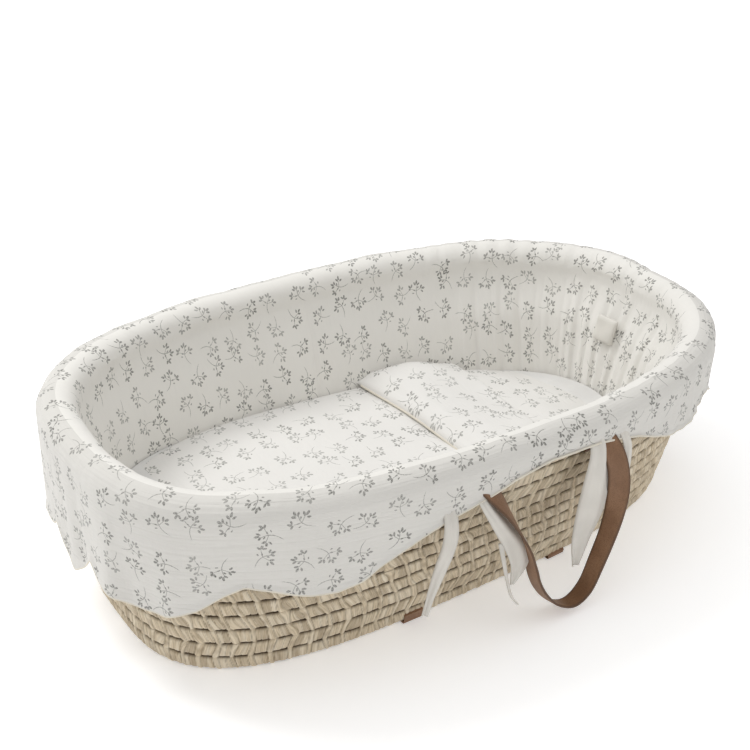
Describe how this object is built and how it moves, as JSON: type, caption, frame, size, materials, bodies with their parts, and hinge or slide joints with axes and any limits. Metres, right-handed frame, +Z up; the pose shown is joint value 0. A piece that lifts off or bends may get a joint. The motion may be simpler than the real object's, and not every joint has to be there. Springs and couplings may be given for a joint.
{
  "type": "moses basket baby cradle",
  "caption": "Oval woven baby basket with a padded scalloped liner, sloping mattress, turned-back duvet, cloth ties and two leather carrying straps",
  "frame": {"origin": "on the floor, under the middle of the basket's rim", "axes": "+X along the basket towards the foot end with the duvet, +Y towards the back long side, +Z up"},
  "size_m": [0.8454, 0.53, 0.244],
  "materials": {
    "straw": "dry plaited maize leaf, matt",
    "leather": "brown saddle leather, fine grain",
    "print": "off-white cotton gauze with small grey sprigs, quilted",
    "ribbon": "soft cotton gauze, creased",
    "cream": "plain cream cotton tape",
    "lining": "plain white cotton",
    "foam": "soft filling"
  },
  "bodies": {
    "basket": {"base_mat": "straw", "wall_row_01": "straw", "wall_row_02": "straw", "wall_row_03": "straw", "wall_row_04": "straw", "wall_row_05": "straw", "wall_row_06": "straw", "wall_row_07": "straw", "wall_row_08": "straw", "wall_row_09": "straw", "wall_row_10": "straw", "rim_coil": "straw", "belt_left": "leather", "belt_right": "leather"},
    "liner": {"bumper": "print", "rim_roll": "print", "skirt": "print", "floor_cloth": "lining", "label_tab": "cream", "tie_front_1": "ribbon", "tie_front_2": "ribbon", "tie_front_3": "ribbon", "tie_front_4": "ribbon", "tie_back_1": "ribbon", "tie_back_2": "ribbon", "tie_back_3": "ribbon", "tie_back_4": "ribbon"},
    "handle_front": {"strap_front": "leather"},
    "handle_back": {"strap_back": "leather"},
    "mattress": {"mattress_core": "foam", "fitted_sheet": "print", "sheet_elastic": "cream"},
    "duvet": {"duvet_quilt": "print", "duvet_piping": "cream"},
    "duvet_flap": {"flap_quilt": "print"}
  },
  "joints": [
    {"name": "liner_lift", "type": "slide", "parent": "basket", "child": "liner", "axis": [0, 0, 1], "range_m": [0, 0.28]},
    {"name": "front_handle_swing", "type": "hinge", "parent": "basket", "child": "handle_front", "pos_m": [0.032, -0.2635, 0.1844], "axis": [-1, 0, 0], "range_deg": [0, 172]},
    {"name": "back_handle_swing", "type": "hinge", "parent": "basket", "child": "handle_back", "pos_m": [0.032, 0.2635, 0.1844], "axis": [1, 0, 0], "range_deg": [0, 172]},
    {"name": "mattress_lift", "type": "slide", "parent": "liner", "child": "mattress", "axis": [0, 0, 1], "range_m": [0, 0.26]},
    {"name": "duvet_lift", "type": "slide", "parent": "mattress", "child": "duvet", "axis": [0, 0, 1], "range_m": [0, 0.16]},
    {"name": "duvet_fold", "type": "hinge", "parent": "duvet", "child": "duvet_flap", "pos_m": [0.067, 0, 0.09775], "axis": [0, -1, 0], "range_deg": [0, 125]}
  ]
}
